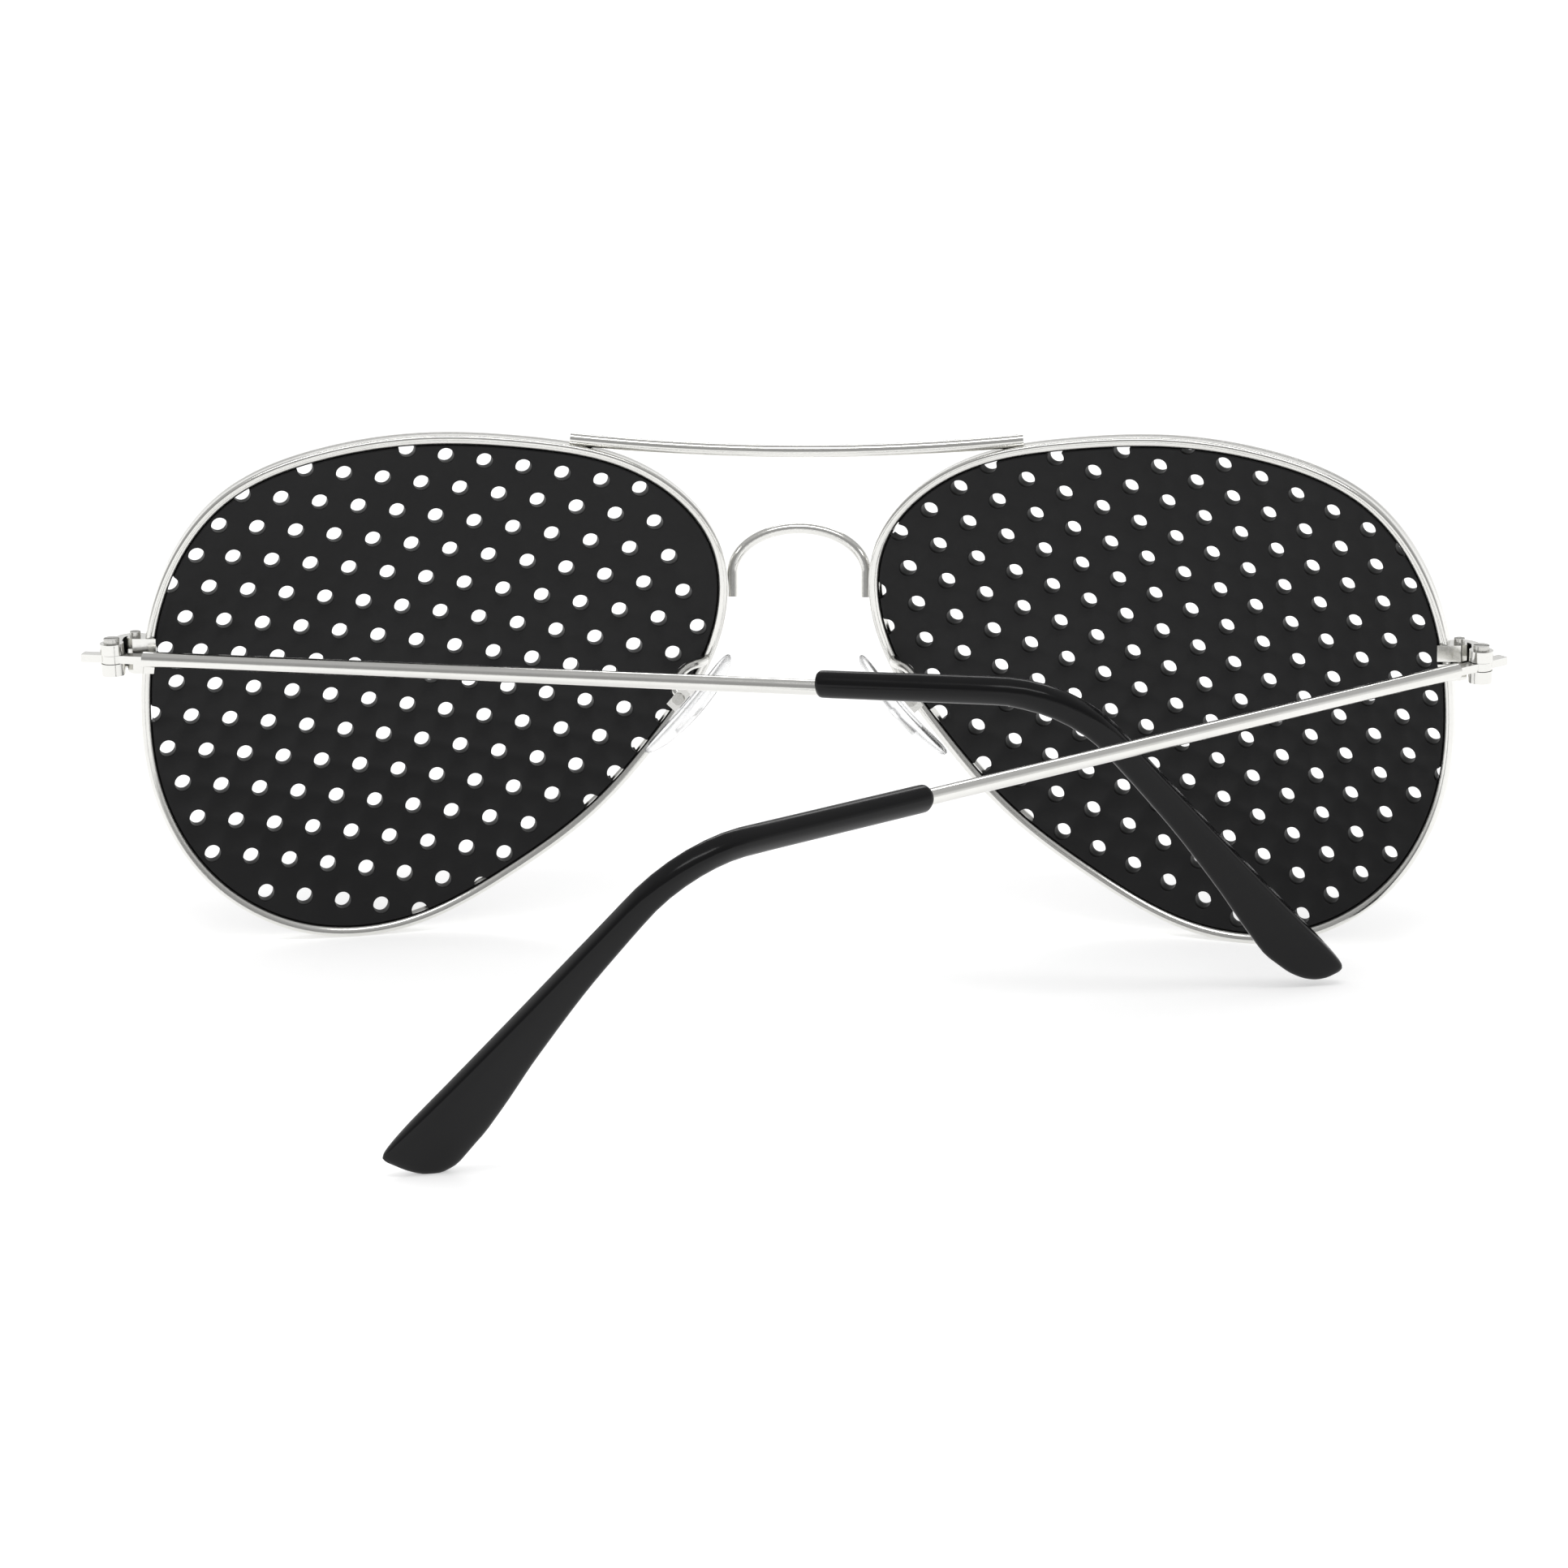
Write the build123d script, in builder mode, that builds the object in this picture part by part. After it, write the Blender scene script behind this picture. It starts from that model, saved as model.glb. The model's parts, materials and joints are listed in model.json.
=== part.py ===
"""Wire-frame pinhole glasses: opaque lenses full of small holes in an aviator-shaped metal frame.

Millimetres. +X is the wearer's right, +Y is forward (the way the wearer looks), +Z is up.
The origin is under the middle of the bridge, on the surface that the two rims stand on.
Right-hand pieces are drawn first and left-hand pieces are mirrored, apart from the two lenses,
whose hole rows run at different angles, and the two temples, which are folded by different amounts.
"""

import os
from math import cos, hypot, radians, sin, sqrt

from build123d import *

os.makedirs("parts", exist_ok=True)

# General
OVERRUN = 1.0
FIT_GAP = 0.03
RUNNING_GAP = 0.05

# Lens opening of one rim, looking along the lens axis
OPENING_WIDTH = 57.0
OPENING_HEIGHT = 48.9
OPENING_OUT = -0.23
OPENING_DROP = 3.27
OPENING_SHARES = [
    (0.464, 0.224), (0.358, 0.396), (0.188, 0.476), (0.005, 0.5),
    (-0.179, 0.487), (-0.358, 0.437), (-0.485, 0.289), (-0.481, 0.079),
    (-0.389, -0.108), (-0.268, -0.269), (-0.118, -0.394), (0.049, -0.484),
    (0.232, -0.489), (0.391, -0.384), (0.482, -0.2), (0.499, 0.013),
]
OPENING_SPANS = 8

# Where the lens sits: its axis leans outwards by the wrap angle and its faces are spherical
LENS_FROM_MIDDLE = 37.35
WRAP_ANGLE = 8.53
BASE_RADIUS = 79.0

# Rim wire, a rolled channel around the lens
RIM_WALL = 1.1
RIM_DEPTH = 2.35
RIM_EDGE = 0.3
GROOVE_DEPTH = 0.5
GROOVE_WIDTH = 1.1
RIM_SLIT = 0.3

# Lens, a moulded black plate with a tongue around its edge
LENS_RECESS = 0.15
LENS_GAP = 0.08
TONGUE_WIDTH = 0.8

# Pinholes: rows of equally spaced holes, each row shifted against the one above
HOLE_WIDTH = 1.9
HOLE_SIDES = 6
HOLE_SIDE_BULGE = 0.012
HOLE_EDGE_WALL = 0.15
LEFT_FIRST_HOLE = (-1.40, 0.38)
LEFT_NEXT_HOLE = (3.87, -0.70)
LEFT_NEXT_ROW = (1.38, -3.65)
RIGHT_FIRST_HOLE = (-1.00, 1.65)
RIGHT_NEXT_HOLE = (3.66, -1.50)
RIGHT_NEXT_ROW = (0.70, -3.81)

# Bridge, a bent wire brazed to the nose sides of the rims
BRIDGE_WIRE = 1.1
BRIDGE_LEG_SPREAD = 13.5
BRIDGE_FOOT_HEIGHT = 33.9
BRIDGE_LEG = 2.4
BRIDGE_RISE = 4.5
BRIDGE_FORWARD = 0.2
BRIDGE_LEAN = 12.0

# Brow bar, a gently sagging wire lying on the tops of the rims
BROW_WIRE = 1.3
BROW_LENGTH = 45.4
BROW_SAG = 1.2
BROW_HEIGHT = 50.35
BROW_BEHIND = 0.6

# Hinge pin of the right temple
PIN_FROM_MIDDLE = 68.2
PIN_BEHIND = 10.32
PIN_HEIGHT = 30.0
PIN_LEAN_OUT = 1.95
TEMPLE_DIP = 0.57

# Endpiece, a strap bent forwards and back to the hinge barrel
BARREL_DIAMETER = 2.4
STRAP_WIDTH = 0.95
ARCH_RADIUS = 1.85
ARCH_OUT = -1.85
ARCH_FORWARD = 1.8
UPPER_ARM = 1.1
LOWER_ARM = 1.25
WEB_CLEARANCE = 0.12

# Closing block beside the rim's slit
BLOCK_HEIGHT = 3.6
BLOCK_IN = 63.9
BLOCK_OUT = 66.85
BLOCK_BACK = 9.7
BLOCK_FRONT = 7.42
BLOCK_CORNER = 0.6
RIM_SCREW_X = 66.1
RIM_SCREW_BEHIND = 8.6
RIM_SCREW_SHANK = 0.7
RIM_SCREW_HEAD = 1.1
RIM_SCREW_HEAD_DEPTH = 0.5

# Hinge screw
SCREW_SHANK = 1.0
SCREW_HEAD = 1.6
SCREW_HEAD_DEPTH = 0.5
SLOT_WIDTH = 0.25
SLOT_DEPTH = 0.2

# Temple: a flattened tongue in the hinge, then wire as far as the tip's core
LEFT_FOLD = 75.87
RIGHT_FOLD = 44.45
TONGUE_THICKNESS = 0.8
TONGUE_PLAN_WIDTH = 1.2
TONGUE_EYE = 2.2
TONGUE_TAIL = 3.2
TONGUE_REACH = 4.6
TEMPLE_WIRE = 1.56
CORE_IN_TIP = 19.0

# Ear bend and the moulded tip around the wire
TIP_START = 74.4
EAR_BEND_AT = 99.6
EAR_BEND_RADIUS = 7.0
EAR_DROP = 41.2
EAR_ANGLE = 57.9
EAR_TILT = 25.6
TIP_WIDTH = 4.9
TIP_THICKNESS = 2.3
TIP_NARROW_SHARE = 0.53
# Place along the tip, then its width and thickness there, as shares of the sizes above
TIP_STATION_SHARES = [
    (0.0, 0.55, 1.1), (0.33, 0.54, 1.08), (0.35, 0.54, 1.07), (0.37, 0.535, 1.07),
    (0.39, 0.535, 1.06), (0.41, 0.53, 1.06), (0.437, 0.53, 1.05), (0.56, 0.53, 1.0),
    (0.71, 0.58, 1.0), (0.83, 0.75, 1.0), (0.9, 0.92, 1.0), (0.95, 1.0, 0.98),
    (0.975, 0.94, 0.9), (0.992, 0.72, 0.68), (1.0, 0.36, 0.34),
]

# Nose pad, its insert and the box on the pad arm
PAD_LENGTH = 12.8
PAD_WIDTH = 7.0
PAD_THICKNESS = 1.5
PAD_EDGE = 0.6
PAD_SLANT = 50.0
PAD_SPLAY = 12.0
PAD_SHIFT = -0.3
BOX_FROM_MIDDLE = 11.45
BOX_BEHIND = 7.0
BOX_HEIGHT = 25.3
BOX_SIZE = 2.4
BOX_DEPTH = 1.2
BOX_WALL = 0.4
PAD_STANDOFF = 0.3
LUG_WIDTH = 1.0
LUG_GAP = 0.12
CORE_LENGTH = 6.0
CORE_WIDTH = 3.0
CORE_THICKNESS = 0.6
PAD_SCREW = 0.6
PAD_SCREW_HEAD = 1.2
PAD_SCREW_HEAD_DEPTH = 0.3

# Pad arm, a thin wire from the rim's nose side to the box
ARM_WIRE = 0.95
ARM_SEAT_HEIGHT = 27.6
ARM_SEAT_FROM_MIDDLE = 9.55
ARM_SEAT_BEHIND = 0.3
ARM_BOW_OUT = 1.6
ARM_BOW_BACK = 4.2

LENS_HEIGHT = OPENING_HEIGHT / 2 + OPENING_DROP + RIM_WALL
WRAP = radians(WRAP_ANGLE)
LENS_PLANE = Plane(
    origin=(LENS_FROM_MIDDLE, 0, LENS_HEIGHT),
    x_dir=(cos(WRAP), -sin(WRAP), 0),
    z_dir=(-sin(WRAP), -cos(WRAP), 0),
)
LENS_CENTRE = LENS_PLANE.from_local_coords((0, 0, BASE_RADIUS))
FRONT_RADIUS = BASE_RADIUS + RIM_DEPTH
MIDDLE_RADIUS = BASE_RADIUS + RIM_DEPTH / 2
OPENING_POINTS = [
    (OPENING_OUT + OPENING_WIDTH * across, -OPENING_DROP + OPENING_HEIGHT * up)
    for across, up in OPENING_SHARES
]
with BuildLine() as opening_line:
    Spline(*OPENING_POINTS, periodic=True)
OPENING_EDGE = opening_line.edge()


def smooth_joints():
    """Joints of tangent arcs that follow the opening's outline, each a place and a direction."""
    joints = []
    for index in range(OPENING_SPANS):
        start = OPENING_EDGE.position_at(index / OPENING_SPANS)
        start_way = OPENING_EDGE.tangent_at(index / OPENING_SPANS)
        end = OPENING_EDGE.position_at((index + 1) / OPENING_SPANS)
        end_way = OPENING_EDGE.tangent_at((index + 1) / OPENING_SPANS)
        chord = end - start
        both_ways = chord.dot(start_way + end_way)
        turn = 2 * (1 - start_way.dot(end_way))
        reach = (sqrt(both_ways**2 + turn * chord.dot(chord)) - both_ways) / turn
        first_corner = start + start_way * reach
        second_corner = end - end_way * reach
        joints.append((start, start_way))
        joints.append(((first_corner + second_corner) / 2, (second_corner - first_corner).normalized()))
    return joints


OPENING_JOINTS = smooth_joints()


def save(piece, name):
    piece.part.label = name
    export_step(piece.part, f"parts/{name}.step")


def turned(plane, direction, angle):
    """The plane turned by angle about a direction through its own origin."""
    axis = Axis((0, 0, 0), direction)
    return Plane(
        origin=plane.origin,
        x_dir=plane.x_dir.rotate(axis, angle),
        z_dir=plane.z_dir.rotate(axis, angle),
    )


def other_side(piece):
    """The same piece for the left-hand side."""
    with BuildPart() as copy:
        mirror(piece.part, about=Plane.YZ)
    return copy


def opening_arcs(growth):
    """The opening's outline grown by growth, drawn as tangent arcs."""
    places = [place + Vector(way.Y, -way.X) * growth for place, way in OPENING_JOINTS]
    for index, (_, way) in enumerate(OPENING_JOINTS):
        TangentArc(places[index], places[(index + 1) % len(places)], tangent=way)


def lens_slab(growth, back_radius, front_radius):
    """All that lies inside the lens opening grown by growth, between two spheres."""
    with BuildPart() as slab:
        with BuildSketch(LENS_PLANE.offset(-RIM_DEPTH - OVERRUN)):
            with BuildLine():
                opening_arcs(growth)
            make_face()
        extrude(amount=OPENING_WIDTH / 2)
        with Locations(LENS_CENTRE):
            Sphere(front_radius, mode=Mode.INTERSECT)
            Sphere(back_radius, mode=Mode.SUBTRACT)
    return slab.part


RIM_ENVELOPE = lens_slab(RIM_WALL, BASE_RADIUS, FRONT_RADIUS)

# Right rim, cut through at the closing block
with BuildPart() as rim_right:
    add(RIM_ENVELOPE)
    rim_faces = rim_right.faces().filter_by(GeomType.SPHERE)
    chamfer(rim_faces.edges(), RIM_EDGE)
    add(lens_slab(0, BASE_RADIUS - OVERRUN, FRONT_RADIUS + OVERRUN), mode=Mode.SUBTRACT)
    add(
        lens_slab(GROOVE_DEPTH, MIDDLE_RADIUS - GROOVE_WIDTH / 2, MIDDLE_RADIUS + GROOVE_WIDTH / 2),
        mode=Mode.SUBTRACT,
    )
    with Locations((PIN_FROM_MIDDLE - ARCH_RADIUS, -PIN_BEHIND, PIN_HEIGHT)):
        Box(BLOCK_HEIGHT * 2, RIM_DEPTH * 4, RIM_SLIT, mode=Mode.SUBTRACT)
save(rim_right, "rim_right")
rim_left = other_side(rim_right)
save(rim_left, "rim_left")

# Lenses
LENS_BLANK_GROWTH = -LENS_GAP
TONGUE_GROWTH = GROOVE_DEPTH - LENS_GAP


# Outline of one pinhole, a ring of shallow arcs
PINHOLE_CORNERS = [
    Vector(HOLE_WIDTH / 2, 0).rotate(Axis.Z, corner * 360 / HOLE_SIDES) for corner in range(HOLE_SIDES)
]
with BuildSketch() as pinhole:
    with BuildLine():
        for index, corner in enumerate(PINHOLE_CORNERS):
            SagittaArc(corner, PINHOLE_CORNERS[index - 1], HOLE_SIDE_BULGE)
    make_face()
PINHOLE = pinhole.sketch


def hole_places(first, next_hole, next_row):
    """Lattice points, in the lens plane, that cover the opening."""
    reach = int(OPENING_WIDTH / hypot(*next_row))
    places = []
    for row in range(-reach, reach + 1):
        for step in range(-reach, reach + 1):
            x = first[0] + step * next_hole[0] + row * next_row[0]
            y = first[1] + step * next_hole[1] + row * next_row[1]
            places.append((x, y))
    return places


def make_lens(first, next_hole, next_row):
    """A right-hand lens with one hole at first and the others spaced by the two steps."""
    places = hole_places(first, next_hole, next_row)
    with BuildSketch() as window:
        with BuildLine():
            opening_arcs(-HOLE_WIDTH / 2 - HOLE_EDGE_WALL - LENS_GAP)
        make_face()
    window_face = window.sketch.face()
    kept = [place for place in places if window_face.is_inside(Vector(*place))]
    with BuildPart() as lens:
        add(lens_slab(LENS_BLANK_GROWTH, BASE_RADIUS + LENS_RECESS, FRONT_RADIUS - LENS_RECESS))
        add(lens_slab(TONGUE_GROWTH, MIDDLE_RADIUS - TONGUE_WIDTH / 2, MIDDLE_RADIUS + TONGUE_WIDTH / 2))
        with BuildSketch(LENS_PLANE.offset(-RIM_DEPTH - OVERRUN)):
            with Locations(*kept):
                add(PINHOLE)
        extrude(amount=OPENING_WIDTH / 2, mode=Mode.SUBTRACT)
    return lens


lens_right = make_lens(RIGHT_FIRST_HOLE, RIGHT_NEXT_HOLE, RIGHT_NEXT_ROW)
save(lens_right, "lens_right")
left_lattice = [(-x, y) for x, y in (LEFT_FIRST_HOLE, LEFT_NEXT_HOLE, LEFT_NEXT_ROW)]
lens_left = other_side(make_lens(*left_lattice))
save(lens_left, "lens_left")

# Bridge
BRIDGE_PLANE = Plane(
    origin=(0, BRIDGE_FORWARD, BRIDGE_FOOT_HEIGHT),
    x_dir=(1, 0, 0),
    z_dir=(0, -cos(radians(BRIDGE_LEAN)), sin(radians(BRIDGE_LEAN))),
)
with BuildPart() as bridge:
    half_spread = BRIDGE_LEG_SPREAD / 2
    with BuildLine(BRIDGE_PLANE) as bridge_path:
        Line((half_spread, 0), (half_spread, BRIDGE_LEG))
        EllipticalCenterArc((0, BRIDGE_LEG), half_spread, BRIDGE_RISE, arc_size=180)
        Line((-half_spread, BRIDGE_LEG), (-half_spread, 0))
    bridge_start = bridge_path.wire() @ 0
    with BuildSketch(Plane(origin=bridge_start, z_dir=bridge_path.wire() % 0)):
        Circle(BRIDGE_WIRE / 2)
    sweep(path=bridge_path.wire())
    add(RIM_ENVELOPE, mode=Mode.SUBTRACT)
    mirror(RIM_ENVELOPE, about=Plane.YZ, mode=Mode.SUBTRACT)
save(bridge, "bridge")

# Brow bar
with BuildPart() as brow_bar:
    half_brow = BROW_LENGTH / 2
    with BuildLine(Plane.XZ.offset(BROW_BEHIND)) as brow_path:
        ThreePointArc(
            (-half_brow, BROW_HEIGHT),
            (0, BROW_HEIGHT - BROW_SAG),
            (half_brow, BROW_HEIGHT),
        )
    brow_start = brow_path.wire() @ 0
    with BuildSketch(Plane(origin=brow_start, z_dir=brow_path.wire() % 0)):
        Circle(BROW_WIRE / 2)
    sweep(path=brow_path.wire())
    add(RIM_ENVELOPE, mode=Mode.SUBTRACT)
    mirror(RIM_ENVELOPE, about=Plane.YZ, mode=Mode.SUBTRACT)
save(brow_bar, "brow_bar")

# Hinge planes of the right-hand side: local x runs back along the open temple, local z is the pin
UPRIGHT_PIN = Plane(
    origin=(PIN_FROM_MIDDLE, -PIN_BEHIND, PIN_HEIGHT),
    x_dir=(0, -1, 0),
    z_dir=(0, 0, 1),
)
DIPPED_PIN = turned(UPRIGHT_PIN, UPRIGHT_PIN.y_dir, TEMPLE_DIP)
PIN_PLANE = turned(DIPPED_PIN, DIPPED_PIN.x_dir, -PIN_LEAN_OUT)
# The same pin with local x outwards and local y forwards
BARREL_PLANE = turned(PIN_PLANE, PIN_PLANE.z_dir, 90)
GAP_HALF = TONGUE_THICKNESS / 2 + RUNNING_GAP
BARREL_TOP = GAP_HALF + UPPER_ARM
BARREL_BOTTOM = -GAP_HALF - LOWER_ARM
BARREL_HEIGHT = BARREL_TOP - BARREL_BOTTOM
ARCH_INSIDE = ARCH_RADIUS - STRAP_WIDTH

# Closing block: two halves clamped by the rim screw
BLOCK_TOP = PIN_HEIGHT + BLOCK_HEIGHT / 2
BLOCK_BOTTOM = PIN_HEIGHT - BLOCK_HEIGHT / 2
BLOCK_HALF = (BLOCK_HEIGHT - RIM_SLIT) / 2


BLOCK_OUTLINE = [
    (BLOCK_IN, -BLOCK_BACK),
    (BLOCK_OUT - BLOCK_CORNER, -BLOCK_BACK),
    (BLOCK_OUT, -BLOCK_BACK + BLOCK_CORNER),
    (BLOCK_OUT, -BLOCK_FRONT - BLOCK_CORNER),
    (BLOCK_OUT - BLOCK_CORNER, -BLOCK_FRONT),
    (BLOCK_IN, -BLOCK_FRONT),
]


def block_half(bottom):
    with BuildPart() as block:
        with BuildSketch(Plane.XY.offset(bottom)):
            with BuildLine():
                Polyline(*BLOCK_OUTLINE, close=True)
            make_face()
            with Locations((RIM_SCREW_X, -RIM_SCREW_BEHIND)):
                Circle(RIM_SCREW_SHANK / 2, mode=Mode.SUBTRACT)
        extrude(amount=BLOCK_HALF)
        add(lens_slab(RIM_WALL, BASE_RADIUS, FRONT_RADIUS + OVERRUN), mode=Mode.SUBTRACT)
        add(lens_slab(0, BASE_RADIUS - OVERRUN, FRONT_RADIUS), mode=Mode.SUBTRACT)
    return block


rim_block_lower_right = block_half(BLOCK_BOTTOM)
rim_block_upper_right = block_half(BLOCK_TOP - BLOCK_HALF)
with BuildPart() as rim_screw_right:
    with BuildSketch(Plane.XY.offset(BLOCK_BOTTOM)):
        with Locations((RIM_SCREW_X, -RIM_SCREW_BEHIND)):
            Circle(RIM_SCREW_SHANK / 2)
    extrude(amount=BLOCK_HEIGHT)
    with BuildSketch(Plane.XY.offset(BLOCK_TOP)):
        with Locations((RIM_SCREW_X, -RIM_SCREW_BEHIND)):
            Circle(RIM_SCREW_HEAD / 2)
    extrude(amount=RIM_SCREW_HEAD_DEPTH)
    with Locations((RIM_SCREW_X, -RIM_SCREW_BEHIND, BLOCK_TOP + RIM_SCREW_HEAD_DEPTH)):
        Box(RIM_SCREW_HEAD, SLOT_WIDTH, SLOT_DEPTH * 2, mode=Mode.SUBTRACT)
save(rim_block_lower_right, "rim_block_lower_right")
save(rim_block_upper_right, "rim_block_upper_right")
save(rim_screw_right, "rim_screw_right")
save(other_side(rim_block_lower_right), "rim_block_lower_left")
save(other_side(rim_block_upper_right), "rim_block_upper_left")
save(other_side(rim_screw_right), "rim_screw_left")

# Endpiece: the barrel and the arch that is brazed to the rim and block, slotted for the tongue
with BuildPart() as endpiece_right:
    with BuildSketch(BARREL_PLANE.offset(BARREL_BOTTOM)):
        with Locations((ARCH_OUT, ARCH_FORWARD)):
            Circle(ARCH_RADIUS)
        with Locations((ARCH_OUT / 2, ARCH_FORWARD / 2)):
            Rectangle(-ARCH_OUT, ARCH_FORWARD)
        with Locations((ARCH_OUT, ARCH_FORWARD)):
            Circle(ARCH_INSIDE, mode=Mode.SUBTRACT)
        with Locations((ARCH_OUT, ARCH_FORWARD - ARCH_RADIUS)):
            Rectangle(ARCH_INSIDE * 2, ARCH_RADIUS * 2, mode=Mode.SUBTRACT)
        with Locations((ARCH_OUT - ARCH_RADIUS / 2, ARCH_FORWARD - ARCH_RADIUS)):
            Rectangle(ARCH_RADIUS, ARCH_RADIUS * 2, mode=Mode.SUBTRACT)
        Circle(BARREL_DIAMETER / 2)
        Circle(SCREW_SHANK / 2, mode=Mode.SUBTRACT)
    extrude(amount=BARREL_HEIGHT)
    with BuildSketch(BARREL_PLANE.offset(-GAP_HALF)):
        with Locations((0, TONGUE_EYE / 2 + WEB_CLEARANCE - ARCH_RADIUS * 2)):
            Rectangle(ARCH_RADIUS * 5, ARCH_RADIUS * 4)
        with Locations((ARCH_RADIUS - TONGUE_PLAN_WIDTH / 2 - WEB_CLEARANCE, 0)):
            Rectangle(ARCH_RADIUS * 2, ARCH_RADIUS * 5)
    extrude(amount=GAP_HALF * 2, mode=Mode.SUBTRACT)
    with BuildSketch(Plane.XY.offset(BLOCK_BOTTOM - OVERRUN)):
        with BuildLine():
            Polyline(*BLOCK_OUTLINE, close=True)
        make_face()
    extrude(amount=BLOCK_HEIGHT + OVERRUN * 2, mode=Mode.SUBTRACT)
    add(RIM_ENVELOPE, mode=Mode.SUBTRACT)
save(endpiece_right, "endpiece_right")
save(other_side(endpiece_right), "endpiece_left")

# Hinge screw
with BuildPart() as hinge_screw_right:
    with BuildSketch(BARREL_PLANE.offset(BARREL_BOTTOM)):
        Circle(SCREW_SHANK / 2)
    extrude(amount=BARREL_HEIGHT)
    with BuildSketch(BARREL_PLANE.offset(BARREL_TOP)):
        Circle(SCREW_HEAD / 2)
    extrude(amount=SCREW_HEAD_DEPTH)
    with BuildSketch(BARREL_PLANE.offset(BARREL_TOP + SCREW_HEAD_DEPTH - SLOT_DEPTH)):
        Rectangle(SCREW_HEAD, SLOT_WIDTH)
    extrude(amount=SLOT_DEPTH, mode=Mode.SUBTRACT)
save(hinge_screw_right, "hinge_screw_right")
save(other_side(hinge_screw_right), "hinge_screw_left")


def temple_planes(fold):
    """The plan plane of a right temple folded in by fold, and the plane of its ear bend."""
    plan = turned(PIN_PLANE, PIN_PLANE.z_dir, -fold)
    side = Plane(origin=plan.origin, x_dir=plan.x_dir, z_dir=-plan.y_dir)
    return plan, turned(side, side.x_dir, -EAR_TILT)


def round_bar(plan, start, length, diameter):
    """A round bar along the temple from start."""
    with BuildPart() as bar:
        with BuildSketch(Plane(origin=plan.from_local_coords((start, 0, 0)), z_dir=plan.x_dir)):
            Circle(diameter / 2)
        extrude(amount=length)
    return bar.part


def make_temple_wire(fold):
    """Tongue and wire of a right temple."""
    plan = temple_planes(fold)[0]
    wire_start = TONGUE_REACH - TONGUE_PLAN_WIDTH
    with BuildPart() as temple:
        with BuildSketch(plan.offset(-TONGUE_THICKNESS / 2)):
            Circle(TONGUE_EYE / 2)
            with Locations(((TONGUE_REACH - TONGUE_TAIL) / 2, 0)):
                Rectangle(TONGUE_REACH + TONGUE_TAIL, TONGUE_PLAN_WIDTH)
        extrude(amount=TONGUE_THICKNESS)
        add(round_bar(plan, wire_start, TIP_START + CORE_IN_TIP - wire_start, TEMPLE_WIRE))
        with BuildSketch(plan.offset(-TONGUE_THICKNESS)):
            Circle(SCREW_SHANK / 2 + RUNNING_GAP)
        extrude(amount=TONGUE_THICKNESS * 2, mode=Mode.SUBTRACT)
    return temple


def make_temple_tip(fold):
    """Moulded tip of a right temple, with the bore that its wire core fills."""
    plan, ear = temple_planes(fold)
    with BuildPart() as tip:
        with BuildLine(ear, mode=Mode.PRIVATE) as route:
            FilletPolyline(
                (TIP_START, 0),
                (EAR_BEND_AT, 0),
                (
                    EAR_BEND_AT + EAR_DROP * cos(radians(EAR_ANGLE)),
                    -EAR_DROP * sin(radians(EAR_ANGLE)),
                ),
                radius=EAR_BEND_RADIUS,
            )
        path = route.wire()
        for place, width_share, thickness_share in TIP_STATION_SHARES:
            width = TIP_WIDTH * width_share
            station = Plane(origin=path @ place, x_dir=-ear.z_dir, z_dir=path % place)
            with BuildSketch(station):
                with Locations((0, (TIP_WIDTH * TIP_NARROW_SHARE - width) / 2)):
                    Ellipse(TIP_THICKNESS * thickness_share / 2, width / 2)
        loft(ruled=True)
        core = CORE_IN_TIP + FIT_GAP + OVERRUN
        add(
            round_bar(plan, TIP_START - OVERRUN, core, TEMPLE_WIRE + FIT_GAP * 2),
            mode=Mode.SUBTRACT,
        )
    return tip


save(make_temple_wire(RIGHT_FOLD), "temple_wire_right")
save(make_temple_tip(RIGHT_FOLD), "temple_tip_right")
save(other_side(make_temple_wire(LEFT_FOLD)), "temple_wire_left")
save(other_side(make_temple_tip(LEFT_FOLD)), "temple_tip_left")

# Nose pad of the right-hand side: local x runs down the pad, local y back, local z to the nose
SLANT = radians(PAD_SLANT)
UNSPLAYED_PAD = Plane(
    origin=(BOX_FROM_MIDDLE, -BOX_BEHIND, BOX_HEIGHT),
    x_dir=(cos(SLANT), 0, -sin(SLANT)),
    z_dir=(-sin(SLANT), 0, -cos(SLANT)),
)
PAD_PLANE = turned(UNSPLAYED_PAD, UNSPLAYED_PAD.x_dir, -PAD_SPLAY)
PAD_BACK = BOX_DEPTH / 2 + PAD_STANDOFF
CAVITY = BOX_SIZE - BOX_WALL * 2
CAVITY_FLOOR = BOX_WALL - BOX_DEPTH / 2
# The screw's own frame: local z runs along the screw, towards its head
SCREW_PLANE = Plane(origin=PAD_PLANE.origin, x_dir=PAD_PLANE.x_dir, z_dir=PAD_PLANE.y_dir)

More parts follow.
